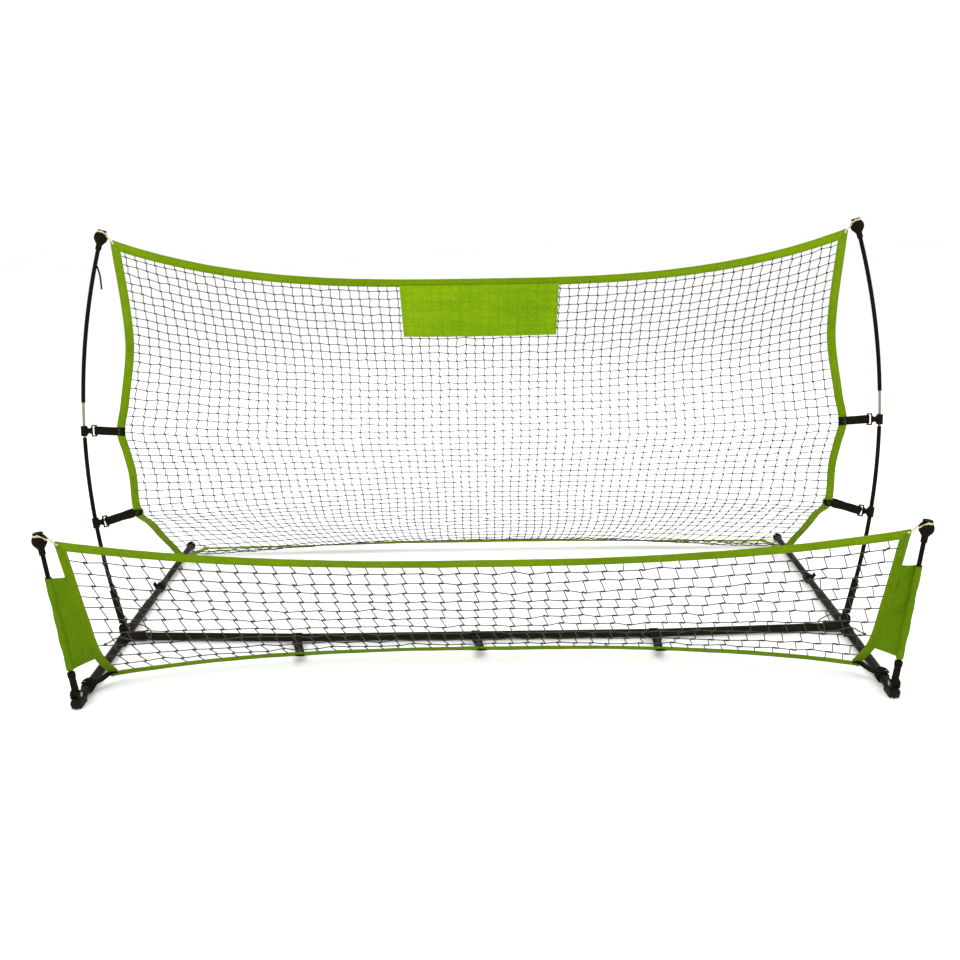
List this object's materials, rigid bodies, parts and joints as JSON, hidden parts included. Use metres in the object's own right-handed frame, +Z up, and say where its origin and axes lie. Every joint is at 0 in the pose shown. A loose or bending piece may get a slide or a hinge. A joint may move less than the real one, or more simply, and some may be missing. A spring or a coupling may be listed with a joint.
{
  "type": "ball rebounder",
  "caption": "Dual-sided ball rebounder: tubular base, tall rear net on flexible side poles, low front net on short poles, poles folding flat",
  "frame": {"origin": "centre of the object's outline on the ground (bottom of the bounding box)", "axes": "+X to the right across the nets, +Y from the low front net towards the tall rear net, +Z up"},
  "size_m": [2.3468, 1.3112, 1.1851],
  "materials": {
    "base_tube": "satin powder coat",
    "pole_tube": "satin",
    "bare_rod": "satin",
    "pin_steel": "satin",
    "spigot_steel": "satin",
    "moulded_fittings": "matte",
    "rubber_caps": "matte",
    "clips": "satin",
    "cream_elastic": "braided",
    "black_cord": "braided",
    "webbing": "woven",
    "netting": "knotted twine",
    "binding": "woven tape",
    "panel_fabric": "woven"
  },
  "bodies": {
    "base": {"cross_tube_left": "base_tube", "cross_tube_middle": "base_tube", "cross_tube_right": "base_tube", "cross_spigots": "spigot_steel", "hub_left": "moulded_fittings", "hub_right": "moulded_fittings", "hub_pins": "pin_steel", "hub_lashings": "black_cord", "rail_left": "base_tube", "rail_right": "base_tube", "rear_rail_left": "base_tube", "rear_rail_right": "base_tube", "front_foot_left": "moulded_fittings", "front_foot_right": "moulded_fittings", "front_pins": "pin_steel", "rear_end_cap_left": "moulded_fittings", "rear_end_cap_right": "moulded_fittings", "rear_corner_elastics": "cream_elastic", "rear_rail_cuff_left": "webbing", "rear_rail_cuff_right": "webbing", "cross_strap_left": "webbing", "cross_strap_middle": "webbing", "cross_strap_right": "webbing", "front_corner_strap_left": "webbing", "front_corner_strap_right": "webbing", "back_net": "netting", "back_binding": "binding", "back_patch": "panel_fabric", "front_net": "netting", "front_binding": "binding"},
    "rear_pole_left": {"rear_socket_left": "moulded_fittings", "lower_pole_left": "pole_tube", "pole_rod_left": "bare_rod", "upper_pole_left": "pole_tube", "top_cap_left": "rubber_caps", "top_elastic_left": "cream_elastic", "mid_clip_left": "clips", "low_clip_left": "clips", "mid_strap_left": "webbing", "low_strap_left": "webbing", "pull_tail": "black_cord"},
    "rear_pole_right": {"rear_socket_right": "moulded_fittings", "lower_pole_right": "pole_tube", "pole_rod_right": "bare_rod", "upper_pole_right": "pole_tube", "top_cap_right": "rubber_caps", "top_elastic_right": "cream_elastic", "mid_clip_right": "clips", "low_clip_right": "clips", "mid_strap_right": "webbing", "low_strap_right": "webbing"},
    "front_pole_left": {"front_socket_left": "moulded_fittings", "front_pole_left": "pole_tube", "front_cap_left": "rubber_caps", "front_sleeve_left": "panel_fabric"},
    "front_pole_right": {"front_socket_right": "moulded_fittings", "front_pole_right": "pole_tube", "front_cap_right": "rubber_caps", "front_sleeve_right": "panel_fabric"}
  },
  "joints": [
    {"name": "rear_fold_right", "type": "hinge", "parent": "base", "child": "rear_pole_right", "pos_m": [1.065, -0.1935, 0.04], "axis": [1, 0, 0], "range_deg": [-68, 0], "deforming": ["back_net", "back_binding", "back_patch"]},
    {"name": "rear_fold_left", "type": "hinge", "parent": "base", "child": "rear_pole_left", "pos_m": [-1.065, -0.1935, 0.04], "axis": [1, 0, 0], "range_deg": [-68, 0]},
    {"name": "front_fold_right", "type": "hinge", "parent": "base", "child": "front_pole_right", "pos_m": [1.065, -0.6335, 0.038], "axis": [1, 0, 0], "range_deg": [-78, 0], "deforming": ["front_net", "front_binding"]},
    {"name": "front_fold_left", "type": "hinge", "parent": "base", "child": "front_pole_left", "pos_m": [-1.065, -0.6335, 0.038], "axis": [1, 0, 0], "range_deg": [-78, 0]}
  ],
  "couplings": [
    {"joint": "rear_fold_left", "follows": "rear_fold_right", "ratio": 1},
    {"joint": "front_fold_left", "follows": "front_fold_right", "ratio": 1}
  ]
}
